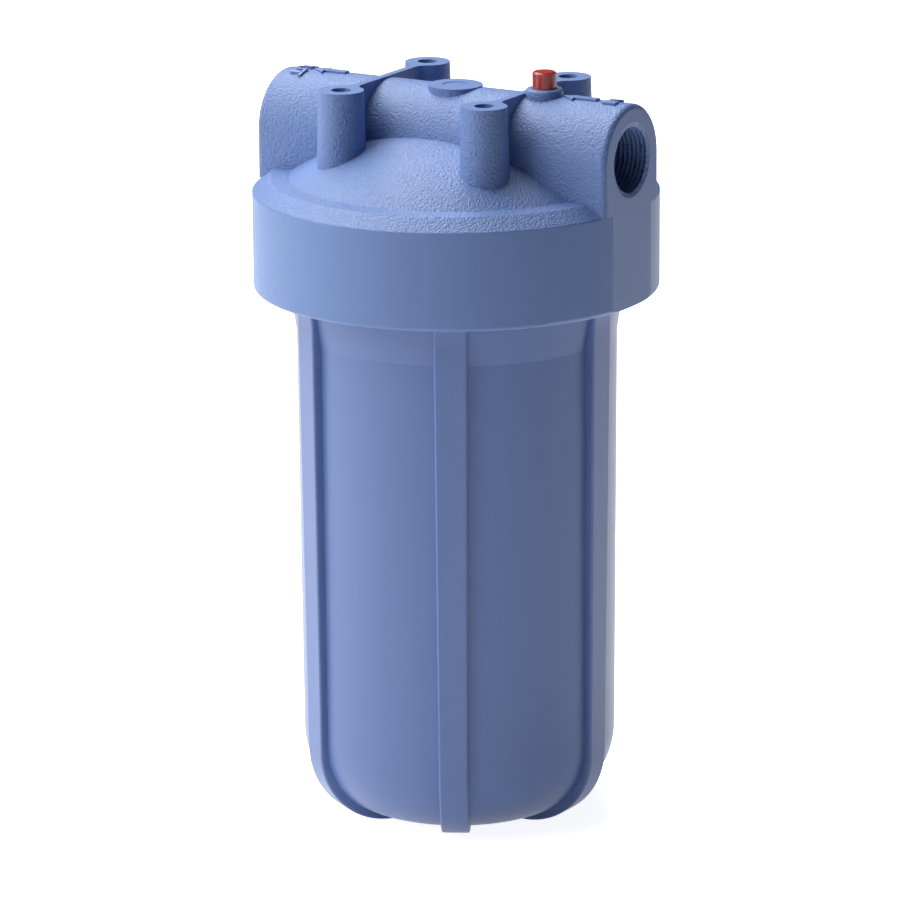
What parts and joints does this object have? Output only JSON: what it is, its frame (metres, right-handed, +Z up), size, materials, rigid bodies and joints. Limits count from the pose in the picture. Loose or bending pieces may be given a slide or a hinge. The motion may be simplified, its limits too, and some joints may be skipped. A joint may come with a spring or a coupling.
{
  "type": "cartridge filter housing",
  "caption": "Blue cartridge filter housing: ribbed sump, screw-on cap with side pipe ports, mounting bosses and a red pressure relief button.",
  "frame": {"origin": "on the floor under the middle of the sump", "axes": "+Z up along the housing's axis, +X towards the inlet port, which lies on the relief button's side"},
  "size_m": [0.181, 0.1844, 0.3508],
  "materials": {
    "cap_plastic": "fine pebbled moulding",
    "sump_plastic": "smooth satin moulding",
    "seal_rubber": "moulded",
    "button_plastic": "glossy moulding",
    "spring_steel": "drawn wire and strip",
    "washer_steel": "stamped",
    "cartridge_plastic": "moulded",
    "filter_media": "pleated non-woven",
    "end_cap_vinyl": "cast vinyl",
    "gasket_rubber": "moulded"
  },
  "bodies": {
    "sump_body": {"sump": "sump_plastic", "cartridge_core": "cartridge_plastic", "cartridge_pleats": "filter_media", "cartridge_bottom_end_cap": "end_cap_vinyl", "cartridge_top_end_cap": "end_cap_vinyl", "cartridge_bottom_gasket": "gasket_rubber", "cartridge_top_gasket": "gasket_rubber"},
    "seal_body": {"main_o_ring": "seal_rubber"},
    "cap_body": {"filter_cap": "cap_plastic", "relief_spring": "spring_steel"},
    "button_body": {"relief_button": "button_plastic", "relief_o_ring": "seal_rubber", "relief_washer": "washer_steel", "relief_clip": "spring_steel"}
  },
  "joints": [
    {"name": "cap_turn", "type": "hinge", "parent": "sump_body", "child": "seal_body", "pos_m": [0, 0, 0.285], "axis": [0, 0, 1], "range_deg": [0, 720]},
    {"name": "cap_rise", "type": "slide", "parent": "seal_body", "child": "cap_body", "axis": [0, 0, 1], "range_m": [0, 0.0161]},
    {"name": "button_press", "type": "slide", "parent": "cap_body", "child": "button_body", "axis": [0, 0, -1], "range_m": [0, 0.0025], "stiffness_N_per_m": 400, "springref_m": -0.003, "deforming": ["relief_spring"]}
  ],
  "couplings": [
    {"joint": "cap_rise", "follows": "cap_turn", "m_per_rad": 0.0012732}
  ]
}
